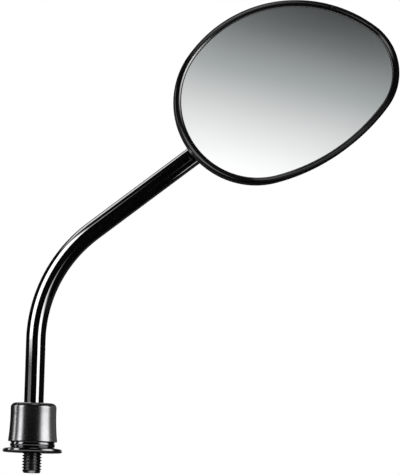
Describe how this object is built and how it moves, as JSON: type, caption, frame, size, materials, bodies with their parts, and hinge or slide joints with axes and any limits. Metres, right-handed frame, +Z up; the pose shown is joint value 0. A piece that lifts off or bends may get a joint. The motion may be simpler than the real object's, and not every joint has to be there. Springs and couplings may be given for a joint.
{
  "type": "motorcycle mirror",
  "caption": "Handlebar mirror with an egg-shaped convex glass in a rimmed shell, on a ball joint at the end of a bent rod with a threaded stud, lock nut and sliding cover.",
  "frame": {"origin": "centre of the seat under the flange, on the stud's axis", "axes": "+Z up along the stud and the lower stem, +X towards the head, and the glass faces -Y"},
  "size_m": [0.1963, 0.0365, 0.246],
  "materials": {
    "gloss_black_steel": "gloss black enamel",
    "bright_steel": "ground",
    "dark_ring": "semi-gloss dark grey",
    "zinc_steel": "zinc plated",
    "gunmetal": "satin gunmetal",
    "white_nylon": "moulded",
    "pressed_steel": "pressed sheet",
    "grey_nylon": "moulded",
    "black_shell": "gloss black",
    "black_rim": "semi-gloss black",
    "mirror": "silvered",
    "foam": "closed-cell foam",
    "black_plate": "moulded"
  },
  "bodies": {
    "stem": {"stem": "gloss_black_steel", "pivot_ball": "bright_steel", "ball_pin": "bright_steel", "seat_ring": "dark_ring"},
    "washer": {"lock_washer": "zinc_steel"},
    "nut": {"lock_nut": "zinc_steel"},
    "cover": {"cover": "gunmetal"},
    "liner": {"liner_front": "white_nylon", "liner_rear": "white_nylon"},
    "socket": {"socket_front": "pressed_steel", "socket_rear": "pressed_steel"},
    "head": {"head_shell": "black_shell", "rim_bezel": "black_rim", "mirror_glass": "mirror", "foam_pad": "foam", "backing_plate": "black_plate", "clamp_plate": "grey_nylon", "spring_washers": "zinc_steel", "clamp_screws": "zinc_steel"}
  },
  "joints": [
    {"name": "cover_slide", "type": "slide", "parent": "stem", "child": "cover", "axis": [0, 0, 1], "range_m": [0, 0.03]},
    {"name": "nut_rise", "type": "slide", "parent": "stem", "child": "washer", "axis": [0, 0, 1], "range_m": [0, 0.00455]},
    {"name": "nut_turn", "type": "hinge", "parent": "washer", "child": "nut", "pos_m": [0, 0, 0.0138], "axis": [0, 0, 1], "range_deg": [0, 1080]},
    {"name": "head_swivel", "type": "hinge", "parent": "stem", "child": "liner", "pos_m": [0.08983, 0, 0.16442], "axis": [0.7804, 0, 0.6252], "continuous": true},
    {"name": "head_tilt", "type": "hinge", "parent": "liner", "child": "socket", "pos_m": [0.08983, 0, 0.16442], "axis": [0, 1, 0], "range_deg": [-10, 10]},
    {"name": "head_turn", "type": "hinge", "parent": "socket", "child": "head", "pos_m": [0.08983, 0, 0.16442], "axis": [-0.6252, 0, 0.7804], "range_deg": [-10, 10]}
  ],
  "couplings": [
    {"joint": "nut_rise", "follows": "nut_turn", "m_per_rad": 0.00023873}
  ]
}
